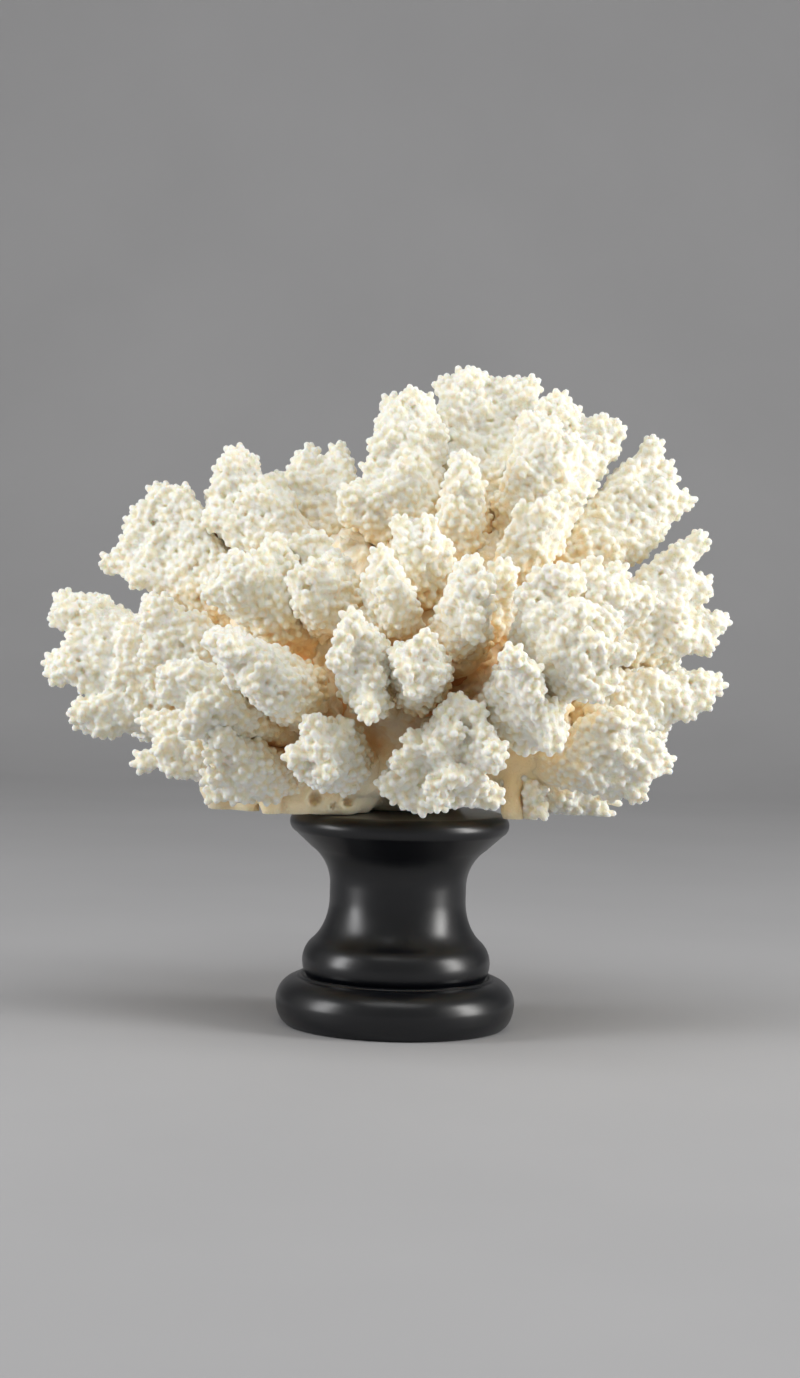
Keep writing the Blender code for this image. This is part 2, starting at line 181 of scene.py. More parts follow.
# Every branch, as its fork, the radius of its shaft, and its lobes as (x, y, z, radius)
BRANCHES = {
    "branch_far_left": ((-24, 0, 90), 10, [
        (-100, 2, 121, 7), (-92, 4, 121, 6.5), (-101, -6, 105, 6.5), (-93, -2, 110, 7.5),
        (-95, -10, 92, 5.5), (-88, -8, 89.5, 5.5), (-81, -6, 92.5, 5.5), (-84, 0, 109, 6.5),
        (-83, -4, 99, 6),
    ]),
    "branch_upper_left": ((-16, 6, 100), 9, [
        (-74, 12, 155, 6.5), (-68, 8, 156, 5), (-81, 14, 150, 5.5), (-82, 12, 143, 4.5),
        (-88, 8, 136.5, 5), (-75, 12, 141.5, 7), (-66, 10, 147, 4.5), (-79, 4, 132.5, 4),
    ]),
    "branch_left_rib": ((-22, -6, 88), 7, [
        (-73, -20, 125, 5), (-74, -22, 118, 4.5), (-72, -22, 111, 4), (-67, -18, 120, 4.5),
    ]),
    "branch_left_tall": ((-10, 6, 108), 9, [
        (-51, 8, 166, 6.5), (-57, 6, 159.5, 5), (-57, 4, 151, 5.5), (-49, 6, 155, 5.5),
        (-41, 8, 163.5, 4), (-43.5, 2, 157, 4.5), (-51.5, 0, 145, 4),
    ]),
    "branch_left_rear": ((-4, 10, 110), 9, [
        (-32, 28, 169, 6), (-22, 26, 170, 5.5), (-26, 24, 161.5, 5.5), (-34, 24, 161, 5),
    ]),
    "branch_crown_left": ((8, 4, 116), 9, [
        (-6, 6, 182, 5.5), (2.5, 8, 186.5, 5.5), (-8, 4, 173, 5.5), (-10, 0, 165, 4),
        (-1, 4, 176, 6.5), (-17.5, -6, 159, 5), (-19, -8, 153.5, 3), (-10, -6, 157.5, 5),
        (-2, -4, 160.5, 5.5), (1.5, 0, 167.5, 5.5), (5, 4, 155, 7), (7, 8, 176, 6),
    ]),
    "branch_crown": ((12, 8, 118), 10, [
        (18, 20, 193, 7), (11, 18, 190.5, 5), (27, 20, 191.5, 5.5), (13.5, 16, 181.5, 7),
        (24, 16, 182, 7), (35, 18, 190, 6), (9, 12, 168, 6), (30, 14, 170, 6.5), (20, 12, 160, 7),
        (35, 12, 177, 6.5), (36, 8, 164, 6.5), (23, 4, 150, 8),
    ]),
    "branch_crown_front": ((12, 2, 116), 6.5, [
        (16, -12, 167.5, 5), (13, -14, 162, 4), (19.5, -14, 162, 4.5), (17, -12, 158, 3.5),
    ]),
    "branch_crown_right": ((18, 4, 114), 9, [
        (42.5, 10, 186.5, 6), (49, 8, 182.5, 5), (57.5, 8, 178.5, 6), (58.5, 4, 173, 4),
        (49.5, 2, 173, 6), (37.5, -4, 179, 6), (42, -8, 171, 5.5), (35.5, -8, 168, 5),
        (45.5, -8, 165, 4), (33, 2, 158, 6),
    ]),
    "branch_crown_low": ((18, -2, 112), 6.5, [
        (33.5, -24, 155, 4), (39, -24, 154, 4), (40.5, -24, 149, 2.5), (47, -20, 158.5, 3.5),
        (51.5, -16, 162, 2.5),
    ]),
    "branch_centre_top": ((6, -4, 110), 7, [
        (-2, -36, 149, 4.5), (5.5, -36, 149, 5), (10.5, -36, 144, 3), (1.5, -38, 143, 4.5),
        (6.5, -36, 142.5, 4),
    ]),
    "branch_centre_left": ((0, -8, 102), 7, [
        (-6.5, -50, 139, 5), (-10, -50, 134, 3), (-4, -54, 131.5, 5), (-1.5, -52, 125.5, 4),
        (-5.5, -50, 126, 3.5),
    ]),
    "branch_left_centre": ((-14, -6, 100), 8, [
        (-49, -38, 136, 5), (-55, -36, 130, 4), (-44, -40, 135, 4.5), (-47.5, -40, 129, 4.5),
        (-37.5, -30, 142, 4),
    ]),
    "branch_left_centre_up": ((-8, -6, 104), 8, [
        (-26, -26, 144, 5), (-31, -28, 141.5, 4), (-21, -28, 140.5, 3), (-31, -48, 133, 5),
        (-29.5, -48, 126.5, 4), (-26.5, -46, 132, 4),
    ]),
    "branch_front_left_up": ((-16, -12, 92), 8, [
        (-53.5, -60, 117, 4.5), (-46, -64, 114.5, 5), (-39.5, -64, 109, 4.5),
        (-33, -60, 104.5, 4), (-42, -64, 101, 3), (-36, -62, 99, 2.5), (-49, -62, 109, 3.5),
    ]),
    "branch_front_left": ((-20, -10, 86), 8, [
        (-63, -48, 105.5, 5.5), (-68.5, -46, 101, 3), (-56, -48, 107, 4), (-62, -50, 95.5, 3.5),
        (-54.5, -50, 100, 4.5), (-47, -48, 98.5, 3.5), (-60, -50, 88.5, 2.5),
    ]),
    "branch_lower_left": ((-26, -4, 80), 8, [
        (-74, -24, 91.5, 4.5), (-67, -28, 87, 5), (-74, -24, 80, 3.5), (-67.5, -28, 78.5, 3.5),
        (-62, -28, 75.5, 3), (-59.5, -30, 82.5, 4),
    ]),
    "branch_lower_left_front": ((-20, -10, 76), 7, [
        (-50, -46, 87.5, 4), (-54, -46, 84, 3), (-45.5, -44, 85, 3.5), (-45, -42, 77, 3.5),
        (-52, -42, 76.5, 4), (-54.5, -38, 70, 3), (-47, -38, 71.5, 3),
    ]),
    "branch_front_left_low": ((-8, -12, 78), 8, [
        (-25.5, -60, 91, 4.5), (-29, -58, 84, 3.5), (-22, -62, 85.5, 4.5), (-16, -56, 92, 3),
        (-28, -56, 78, 3), (-21, -58, 79, 3.5),
    ]),
    "branch_front_centre_left": ((-2, -12, 94), 7.5, [
        (-15, -68, 120, 5), (-18.5, -68, 115, 3.5), (-17.5, -68, 109.5, 2.5), (-9, -66, 117, 4.5),
        (-11, -64, 111.5, 3.5), (-8.5, -68, 103.5, 3.5), (-9.5, -68, 98, 2.5),
    ]),
    "branch_front_centre": ((6, -12, 94), 7, [
        (3, -72, 115.5, 4.5), (-2, -70, 114.5, 3), (7, -70, 115.5, 3.5), (9, -70, 110, 2),
        (2, -72, 109, 3.5), (2.5, -72, 104.5, 2),
    ]),
    "branch_centre_oval": ((14, -10, 100), 7, [
        (17, -62, 139, 4.5), (13.5, -64, 132.5, 3.5), (20, -64, 133, 4), (17.5, -66, 127, 4),
        (18.5, -64, 120.5, 3),
    ]),
    "branch_centre_right": ((18, -6, 104), 6.5, [
        (27.5, -40, 137.5, 5), (30, -40, 132, 3.5), (25.5, -38, 132, 3.5),
    ]),
    "branch_front_right": ((24, -12, 92), 9, [
        (38, -66, 134.5, 5), (46, -66, 136, 4.5), (34, -66, 130, 3.5), (47, -70, 126.5, 5.5),
        (55.5, -68, 123, 5), (58.5, -70, 115, 4.5), (53.5, -72, 107, 5), (47, -72, 110.5, 4.5),
        (42.5, -72, 117.5, 4.5), (51, -74, 117, 5),
    ]),
    "branch_front_right_low": ((16, -14, 86), 7, [
        (31, -78, 115.5, 4), (35.5, -78, 111.5, 2.5), (29, -76, 111, 2.5), (34, -74, 105, 2.5),
        (34.5, -70, 100.5, 3.5), (39.5, -68, 96, 3.5), (44, -66, 99, 3), (41, -66, 91, 3),
        (45, -66, 93, 2),
    ]),
    "branch_right_centre": ((22, -4, 102), 8, [
        (54.5, -36, 140.5, 4), (61, -34, 137, 4.5), (50.5, -38, 137, 3.5), (66, -32, 132.5, 3.5),
        (58, -38, 132, 4.5), (68, -30, 126.5, 4),
    ]),
    "branch_right_upper": ((20, 4, 106), 9, [
        (72, 8, 174.5, 4.5), (69, 8, 168, 5), (77, 8, 167, 5.5), (82.5, 6, 159.5, 5),
        (74.5, 4, 159, 6), (76, 0, 150.5, 3.5), (66.5, 4, 160, 5), (61, 4, 161.5, 4),
    ]),
    "branch_right": ((26, 0, 96), 9, [
        (84.5, -2, 145.5, 5), (78, -4, 142, 4), (89, 0, 134, 5), (80.5, -6, 133, 5.5),
        (93, 0, 124, 5), (88, -4, 118.5, 5.5), (78.5, -8, 122.5, 6.5), (74, -8, 130, 5.5),
    ]),
    "branch_right_lower": ((26, -2, 86), 9.5, [
        (92.5, -6, 106, 5), (85.5, -8, 103.5, 5.5), (79.5, -10, 98, 4.5), (76, -10, 104, 5.5),
        (88, -8, 99, 4), (70, -12, 107, 4.5), (70, -8, 98, 5),
    ]),
    "branch_lower_right": ((26, -8, 80), 8, [
        (58.5, -30, 95.5, 4.5), (67, -28, 93, 4.5), (73.5, -26, 86.5, 4.5), (76.5, -24, 80.5, 4),
        (69.5, -26, 82.5, 4.5), (71, -24, 74, 3), (63.5, -30, 84.5, 3),
    ]),
    "branch_right_foot": ((32, 6, 78), 7, [
        (52.5, 2, 85.5, 4), (59, 0, 78.5, 4.5), (60, 2, 70.5, 4), (65, 2, 69, 2.5),
        (49.5, 2, 76.5, 4), (50, 4, 69, 4), (60, 2, 64, 3.5), (50, 3, 63, 3.5),
    ]),
    "branch_foot_post": ((22, -2, 86), 6.5, [
        (40.5, 2, 81.5, 3.5), (42.5, 2, 73.5, 3.5), (39, 2, 68.5, 3.5), (44, 2, 69, 2.5),
        (34.5, 2, 70, 3.5), (38, 2, 63, 4), (36, -14, 90, 3.5), (38, -18, 83, 3), (39.5, -20, 75, 2.5),
        (37, -18, 70, 2.5), (41, -20, 67, 2.5), (37.5, -18, 64, 2.5),
    ]),
    "branch_front_foot": ((8, -12, 82), 8, [
        (14.5, -60, 99, 4.5), (21, -62, 96, 3.5), (23.5, -66, 89, 4), (27, -68, 86, 2),
        (12, -64, 90.5, 5), (3.5, -62, 89, 4), (0, -60, 82.5, 3.5), (-3, -56, 76.5, 2.5),
        (13.5, -62, 81, 4), (20.5, -62, 81, 3.5), (8.5, -60, 76, 3), (22, -60, 77, 2),
        (1, -54, 73.5, 3), (13, -54, 72, 2), (25, -50, 73.5, 2),
    ]),
}

# The branches that the front hides, as the fork, the radius of the shaft, the middle of the
# head, and how far its lobes spread
REAR_BRANCHES = {
    "branch_rear_far_left": ((-24, 8, 84), 10, (-78, 34, 97), 19),
    "branch_rear_left": ((-16, 10, 96), 10, (-63, 44, 127), 20),
    "branch_rear_upper_left": ((-6, 14, 106), 9, (-38, 52, 148), 18),
    "branch_rear_top": ((8, 14, 112), 10, (8, 54, 166), 21),
    "branch_rear_upper_right": ((18, 12, 106), 10, (50, 44, 152), 20),
    "branch_rear_right": ((22, 10, 96), 10, (76, 36, 124), 19),
    "branch_rear_far_right": ((28, 12, 86), 9, (76, 40, 92), 16),
    "branch_rear_middle_left": ((-6, 20, 92), 9, (-28, 71, 116), 18),
    "branch_rear_middle": ((4, 20, 98), 8, (0, 70, 134), 15),
    "branch_rear_middle_right": ((12, 20, 92), 9, (28, 71, 118), 18),
    "branch_rear_low_left": ((-14, 20, 82), 9, (-44, 58, 85), 17),
    "branch_rear_low": ((0, 24, 82), 9, (-4, 71, 86), 16),
    "branch_rear_low_right": ((16, 20, 82), 8, (33, 64, 87), 15),
}
REAR_LOBES = 8
REAR_LOBE_RADIUS = 5.6
REAR_SEED = 7

# How the lobes of a rear head differ: their angle, their reach as a share of the head's spread,
# how much narrower than tall the ring is, how far they lie back, and their size
REAR_TURN = 0.3
REAR_REACH = (0.55, 0.85)
REAR_NARROWING = 0.75
REAR_SET_BACK = 4.0
REAR_SIZES = (0.75, 1.1)

# The studio, in metres and watts: each softbox as its name, place, size, power and colour
SOFTBOXES = [
    ("right_box", (1.0, -0.24, 0.34), (0.32, 0.7), 9, (1.0, 0.99, 0.97)),
    ("left_box", (-1.0, -0.3, 0.34), (0.32, 0.7), 6.5, (0.99, 0.99, 1.0)),
    ("top_box", (0.0, -0.45, 1.15), (1.0, 0.8), 5.5, (1.0, 1.0, 1.0)),
]
LIT_SPOT = (0, 0, 0.12)
WORLD_COLOUR = (0.80, 0.79, 0.77)
WORLD_STRENGTH = 0.4
SWEEP_COLOUR = (0.42, 0.42, 0.43)
SWEEP_ROUGHNESS = 0.75
SWEEP_HALF_WIDTH = 2.6
SWEEP_FRONT = -2.4
SWEEP_BACK = 0.9
SWEEP_BEND = 0.6
SWEEP_TOP = 3.0


# Forms that the branches are made of

def add_hull(bm, balls):
    """Add the convex hull of some balls: a tapered limb for two of them, a web for three."""
    hull = bmesh.new()
    for middle, radius in balls:
        bmesh.ops.create_icosphere(hull, subdivisions=2, radius=radius * MM,
                                   matrix=Matrix.Translation(middle * MM))
    bmesh.ops.delete(hull, geom=hull.edges, context="EDGES_FACES")
    made = bmesh.ops.convex_hull(hull, input=hull.verts)
    inside = {item for item in made["geom_interior"] + made["geom_unused"]
              if isinstance(item, bmesh.types.BMVert)}
    bmesh.ops.delete(hull, geom=list(inside), context="VERTS")
    mesh = bpy.data.meshes.new("hull")
    hull.to_mesh(mesh)
    hull.free()
    bm.from_mesh(mesh)
    bpy.data.meshes.remove(mesh)


def lobes_middle(lobes):
    return sum((Vector(lobe[:3]) for lobe in lobes), Vector()) / len(lobes)


def branch_limbs(fork, shaft, lobes):
    """A shaft out of the trunk to a neck, and lobes that bud from the nearest one, webbed to the neck."""
    bm = bmesh.new()
    fork = Vector(fork)
    beads = [(Vector(lobe[:3]), max(lobe[3] - SKIN_DEPTH, THINNEST_LOBE)) for lobe in lobes]
    neck = (fork.lerp(lobes_middle(lobes), NECK_SHARE), NECK_RADIUS_SHARE * shaft)
    add_hull(bm, [(fork.lerp(neck[0], HIDDEN_SHARE), SHAFT_START_RADIUS_SHARE * shaft), neck])
    grown = [neck]
    for place, radius in sorted(beads, key=lambda bead: (bead[0] - neck[0]).length):
        parent, parent_radius = min(grown, key=lambda bead: (bead[0] - place).length)
        parent_radius = min(parent_radius, THICKEST_PARENT_SHARE * radius)
        add_hull(bm, [(parent, parent_radius), (place, radius)])
        web = [(end.lerp(neck[0], WEB_SET_BACK), WEB_SHARE * size)
               for end, size in ((parent, parent_radius), (place, radius))]
        add_hull(bm, [neck, *web])
        grown.append((place, radius))
    return bm


def trunk_limbs(branches):
    """The trunk's lumps, with a stub for every branch to grow from."""
    bm = bmesh.new()
    for *place, radius in TRUNK:
        bmesh.ops.create_icosphere(bm, subdivisions=4, radius=(radius - SKIN_DEPTH) * MM,
                                   matrix=Matrix.Translation(Vector(place) * MM))
    for low, high, radius in TRUNK_RIBS:
        add_hull(bm, [(Vector(low), radius), (Vector(high), RIB_TAPER * radius)])
    for _, fork, shaft, lobes in branches:
        fork = Vector(fork)
        neck = fork.lerp(lobes_middle(lobes), NECK_SHARE)
        start, end = (share * shaft for share in STUB_RADIUS_SHARES)
        add_hull(bm, [(fork, start), (fork.lerp(neck, STUB_SHARE), end)])
    return bm


def rear_lobes(head, spread, chance):
    """Lobes of a head on the hidden side: one in the middle and a ring of others, facing outwards."""
    head = Vector(head)
    outwards = Vector((head.x, head.y, head.z - FLAT_CUT)).normalized()
    across = outwards.cross(Vector((0, 0, 1))).normalized()
    upwards = across.cross(outwards)
    lobes = [(*head, REAR_LOBE_RADIUS)]
    for index in range(REAR_LOBES):
        angle = math.tau * index / REAR_LOBES + chance.uniform(-REAR_TURN, REAR_TURN)
        reach = spread * chance.uniform(*REAR_REACH)
        sideways = REAR_NARROWING * reach * math.cos(angle)
        place = head + across * sideways + upwards * (reach * math.sin(angle))
        place -= outwards * chance.uniform(0, REAR_SET_BACK)
        lobes.append((*place, REAR_LOBE_RADIUS * chance.uniform(*REAR_SIZES)))
    return lobes


def all_branches():
    """Every branch as its name, fork, shaft radius and lobes."""
    chance = random.Random(REAR_SEED)
    branches = [(name, *parts) for name, parts in BRANCHES.items()]
    for name, (fork, shaft, head, spread) in REAR_BRANCHES.items():
        branches.append((name, fork, shaft, rear_lobes(head, spread, chance)))
    return branches


def remeshed(bm, voxel, smoothing):
    """One closed skin round everything in bm, as a mesh of its own."""
    mesh = bpy.data.meshes.new("limbs")
    bm.to_mesh(mesh)
    obj = bpy.data.objects.new("limbs", mesh)
    bpy.context.scene.collection.objects.link(obj)
    remesh = obj.modifiers.new("fuse", "REMESH")
    remesh.mode = "VOXEL"
    remesh.voxel_size = voxel * MM
    soften = obj.modifiers.new("soften", "SMOOTH")
    soften.iterations = smoothing
    graph = bpy.context.evaluated_depsgraph_get()
    made = bpy.data.meshes.new_from_object(obj.evaluated_get(graph))
    bpy.data.objects.remove(obj)
    bpy.data.meshes.remove(mesh)
    return made


def put_waves(mesh, length, height):
    """Move the skin in and out in gentle waves, so that nothing stays a plain ball."""
    finer, finer_height = FINER_WAVES
    moved = []
    for vert in mesh.vertices:
        place = vert.co / (length * MM)
        wave = noise.noise(place) + finer_height * noise.noise(finer * place)
        moved.append(vert.co + vert.normal * (height * MM * wave))
    for vert, place in zip(mesh.vertices, moved):
        vert.co = place
    mesh.update()


def vectors(items, attribute):
    found = np.empty(len(items) * 3, np.float32)
    items.foreach_get(attribute, found)
    return found.reshape(-1, 3)


def unit(rows):
    return rows / np.maximum(np.linalg.norm(rows, axis=-1, keepdims=True), 1e-9)


# The bumps

def search_tree(points):
    tree = KDTree(len(points))
    for index, point in enumerate(points):
        tree.insert(point, index)
    tree.balance()
    return tree


def spread_sites(points, spacing, chance):
    """Indices of points packed from many starts, none nearer to another than the spacing."""
    tree = search_tree(points)
    covered = np.zeros(len(points), bool)
    sites = []
    for start in chance.permutation(len(points)):
        waiting = deque([start])
        while waiting:
            index = waiting.popleft()
            if covered[index]:
                continue
            sites.append(index)
            for _, near, distance in tree.find_range(points[index], PACKING_REACH * spacing):
                if distance < spacing:
                    covered[near] = True
                elif not covered[near]:
                    waiting.append(near)
    return np.array(sites)


def settled(places, skin, spacing):
    """The places pushed evenly apart over the skin, with the skin's normal at each."""
    surface = BVHTree.FromPolygons([vert.co for vert in skin.vertices],
                                   [face.vertices for face in skin.polygons])
    for _ in range(SETTLING_ROUNDS):
        near = search_tree(places)
        pushed = []
        for place in places:
            push = Vector()
            for other, _, distance in near.find_range(place, SETTLING_REACH * spacing):
                if distance > 0:
                    share = SETTLING_PUSH * (SETTLING_REACH * spacing / distance - 1)
                    push += (Vector(place) - other) * share
            pushed.append(surface.find_nearest(Vector(place) + push))
        places = np.array([hit[0] for hit in pushed])
    return places, np.array([hit[1] for hit in pushed])


def smooth_step(low, high, values):
    share = np.clip((values - low) / (high - low), 0, 1)
    return share * share * (3 - 2 * share)


def out_share(points, fork, middle):
    """How far out along its branch each point is, from 0 at the fork to 1 at the head."""
    along = np.array(middle - fork) * MM
    return (points - np.array(fork) * MM) @ along / (along @ along)


def growth_mesh(places, axes, radii, heights):
    """One blunt little finger for each place, all in one mesh."""
    ball = bmesh.new()
    bmesh.ops.create_icosphere(ball, subdivisions=2, radius=1)
    shape = np.array([vert.co for vert in ball.verts])
    faces = np.array([[vert.index for vert in face.verts] for face in ball.faces])
    ball.free()
    across = np.hypot(shape[:, 0], shape[:, 1])
    shape /= (across ** BLUNTNESS + np.abs(shape[:, 2]) ** BLUNTNESS)[:, None] ** (1 / BLUNTNESS)
    side = unit(np.cross(axes, np.where(np.abs(axes[:, 2:]) < 0.9, [[0, 0, 1]], [[1, 0, 0]])))
    other = np.cross(axes, side)
    points = places[:, None] + (
        shape[None, :, :1] * (side * radii[:, None])[:, None]
        + shape[None, :, 1:2] * (other * radii[:, None])[:, None]
        + shape[None, :, 2:] * (axes * heights[:, None])[:, None]
    )
    starts = np.arange(len(places))[:, None, None] * len(shape)
    mesh = bpy.data.meshes.new("growth")
    mesh.from_pydata(points.reshape(-1, 3), [], (faces[None] + starts).reshape(-1, 3))
    return mesh


# How open each spot is, which sets how big its bumps grow and how warm its colour is: painted shade,
# warmer and darker where a spot is closed in

def ray_fan(count):
    """Directions spread over a half dome about +Z, denser towards its middle."""
    fan = []
    for index in range(count):
        turn = index * math.pi * (3 - math.sqrt(5))
        across = math.sqrt((index + 0.5) / count)
        up = math.sqrt(1 - across * across)
        fan.append(Vector((across * math.cos(turn), across * math.sin(turn), up)))
    return fan


def openness(tree, places, normals):
    """The share of rays from each place that leave the colony."""
    fan = ray_fan(OPEN_RAYS)
    found = []
    for place, normal in zip(places, normals):
        normal = Vector(normal)
        turn = Vector((0, 0, 1)).rotation_difference(normal)
        start = Vector(place) + normal * (OPEN_START * MM)
        missed = sum(
            tree.ray_cast(start, turn @ direction, OPEN_REACH * MM)[0] is None
            for direction in fan
        )
        found.append(missed / len(fan))
    return np.array(found)


def smoothed(mesh, values, rounds):
    """Values averaged along the mesh's edges."""
    ends = np.empty(len(mesh.edges) * 2, np.int32)
    mesh.edges.foreach_get("vertices", ends)
    ends = ends.reshape(-1, 2)
    both = np.concatenate([ends, ends[:, ::-1]])
    count = np.maximum(np.bincount(both[:, 0], minlength=len(values)), 1)
    for _ in range(rounds):
        near = np.bincount(both[:, 0], weights=values[both[:, 1]], minlength=len(values))
        values = 0.3 * values + 0.7 * near / count
    return values


def set_attribute(mesh, name, values):
    attribute = mesh.attributes.new(name, "FLOAT", "POINT")
    attribute.data.foreach_set("value", np.ascontiguousarray(values, np.float32))


def colony_tree(skins):
    """One search tree over all coarse skins together."""
    points, faces, start = [], [], 0
    for mesh in skins:
        points.extend(vert.co.copy() for vert in mesh.vertices)
        faces.extend([start + index for index in face.vertices] for face in mesh.polygons)
        start += len(mesh.vertices)
    return BVHTree.FromPolygons(points, faces)


def grow(bm, skin, kind, tree, fork, middle, chance):
    """Add one size of growth on a branch's skin to bm.

    Returns each site's place, axis, height and openness.
    """
    spacing, radius, height, lean, spread = kind
    points = vectors(skin.vertices, "co").astype(float)
    sites = spread_sites(points, spacing * MM, chance)
    places, normals = settled(points[sites], skin, spacing * MM)
    light = openness(tree, places, normals)
    outwards = unit(places - np.array(fork.lerp(middle, GROWTH_FOCUS)) * MM)
    axes = unit(normals + lean * outwards + chance.normal(0, AXIS_WOBBLE, places.shape))
    sizes = smooth_step(GROWTH_STARTS, GROWTH_FULL, out_share(places, fork, middle))
    sizes *= smooth_step(GROWTH_CLOSED, GROWTH_OPEN, light)
    sizes *= chance.uniform(1 - spread, 1 + spread, len(sites))
    facing = np.einsum("ij,ij->i", normals, outwards)
    heights = height * MM * sizes * chance.uniform(1 - spread, 1 + spread, len(sites))
    heights *= FACING_SHARES[0] + FACING_SHARES[1] * np.clip(facing, 0, 1)
    radii = radius * MM * (RADIUS_SHARES[0] + RADIUS_SHARES[1] * sizes)
    grown = sizes > LEAST_GROWTH
    mesh = growth_mesh(places[grown], axes[grown], radii[grown], heights[grown])
    bm.from_mesh(mesh)
    bpy.data.meshes.remove(mesh)
    return places, axes, np.where(grown, heights, 0), light


def mark_surface(mesh, sites, fork, middle, farthest):
    """Store on each vertex how far up a bump it is, how open its place is and how far out it grows; the
    first two set painted shade.
    """
    places, axes, heights, light = sites
    points = vectors(mesh.vertices, "co").astype(float)
    near = search_tree(places)
    owner = np.array([near.find(point)[1] for point in points])
    rise = np.einsum("ij,ij->i", points - places[owner], axes[owner])
    # Painted shade between bumps: how far up its bump a vertex stands, so bump tops are painted pale and
    # the gaps darker
    tip = np.clip(rise / np.maximum(heights[owner], LEAST_TIP * MM), 0, 1) * (heights[owner] > 0)
    set_attribute(mesh, "tip", tip)
    # Painted shade in hollows: the smoothed share of rays that leave the colony, so closed-in spots are
    # painted warm and dark
    set_attribute(mesh, "open", smoothed(mesh, light[owner], OPEN_SMOOTHING))
    set_attribute(mesh, "head", np.clip(out_share(points, fork, middle), 0, farthest))


# The coral

def cut_flat(mesh):
    """Cut off what is below the flat cut, and close it."""
    lowest = min(vert.co.z for vert in mesh.vertices)
    if lowest > FLAT_CUT * MM:
        return
    bm = bmesh.new()
    bm.from_mesh(mesh)
    everything = bm.verts[:] + bm.edges[:] + bm.faces[:]
    bmesh.ops.bisect_plane(bm, geom=everything, plane_co=(0, 0, FLAT_CUT * MM),
                           plane_no=(0, 0, -1), clear_outer=True)
    rim = [edge for edge in bm.edges if edge.is_boundary]
    bmesh.ops.holes_fill(bm, edges=rim, sides=0)
    bm.to_mesh(mesh)
    bm.free()


def bore(mesh):
    """Sink the worm holes into the trunk's front, each with a raised ring round it."""
    points = vectors(mesh.vertices, "co")
    front = points[:, 1] < WORM_HOLES_BEFORE * MM
    for x, z, radius, depth in WORM_HOLES:
        away = np.hypot(points[:, 0] - x * MM, points[:, 2] - z * MM) / (radius * MM)
        ring = np.exp(-((away - RING_MIDDLE) / RING_WIDTH) ** 2)
        points[:, 1] += front * MM * (depth * (1 - smooth_step(*HOLE_WALL, away)) - RING_HEIGHT * ring)
    mesh.vertices.foreach_set("co", points.ravel())


def thinned(mesh, ratio):
    obj = bpy.data.objects.new("thin", mesh)
    bpy.context.scene.collection.objects.link(obj)
    thin = obj.modifiers.new("thin", "DECIMATE")
    thin.ratio = ratio
    graph = bpy.context.evaluated_depsgraph_get()
    made = bpy.data.meshes.new_from_object(obj.evaluated_get(graph))
    bpy.data.objects.remove(obj)
    bpy.data.meshes.remove(mesh)
    return made


def add_piece(name, mesh, finish):
    """Show a mesh in place of the CAD node of the same name."""
    mesh.shade_smooth()
    mesh.materials.clear()
    mesh.materials.append(finish)
    piece = bpy.data.objects.new("fine_" + name, mesh)
    bpy.context.scene.collection.objects.link(piece)
    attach(piece, "root")
    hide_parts(name)
    return piece


def waved_skin(bm, waves):
    skin = remeshed(bm, COARSE_VOXEL, COARSE_SMOOTHING)
    bm.free()
    put_waves(skin, *waves)
    return skin


def make_coral(finish):
    chance = np.random.default_rng(SEED)
    branches = all_branches()
    forms = {}
    for name, fork, shaft, lobes in branches:
        skin = waved_skin(branch_limbs(fork, shaft, lobes), BRANCH_WAVES)
        forms[name] = (skin, Vector(fork), lobes_middle(lobes))
    skin = waved_skin(trunk_limbs(branches), TRUNK_WAVES)
    trunk_head = Vector((0, 0, FLAT_CUT + TRUNK_HEAD_HEIGHT))
    forms["coral_trunk"] = (skin, Vector((0, 0, FLAT_CUT)), trunk_head)
    tree = colony_tree([skin for skin, _, _ in forms.values()])
    fine = {}
    for name, (skin, fork, middle) in forms.items():
        bm = bmesh.new()
        bm.from_mesh(skin)
        grow(bm, skin, KNOBS, tree, fork, middle, chance)
        bpy.data.meshes.remove(skin)
        skin = remeshed(bm, KNOB_VOXEL, KNOB_SMOOTHING)
        sites = grow(bm, skin, BUMPS, tree, fork, middle, chance)
        bpy.data.meshes.remove(skin)
        is_trunk = name == "coral_trunk"
        mesh = remeshed(bm, TRUNK_VOXEL if is_trunk else FINE_VOXEL, FINE_SMOOTHING)
        cut_flat(mesh)
        if is_trunk:
            bore(mesh)
        fine[name] = (mesh, sites, fork, middle)
        bm.free()
    total = sum(2 * len(mesh.polygons) for mesh, _, _, _ in fine.values())
    for name, (mesh, sites, fork, middle) in fine.items():
        mesh = thinned(mesh, min(TRIANGLE_BUDGET / total, 1))
        farthest = TRUNK_PALE if name == "coral_trunk" else BRANCH_PALE
        mark_surface(mesh, sites, fork, middle, farthest)
        add_piece(name, mesh, finish)


# The stand

def arc(middle, radii, start, end, steps):
    """Points on an arc, as (radius, height), with its angles in degrees."""
    return [
        (middle[0] + radii[0] * math.cos(math.radians(start + (end - start) * step / steps)),
         middle[1] + radii[1] * math.sin(math.radians(start + (end - start) * step / steps)))
        for step in range(steps + 1)
    ]


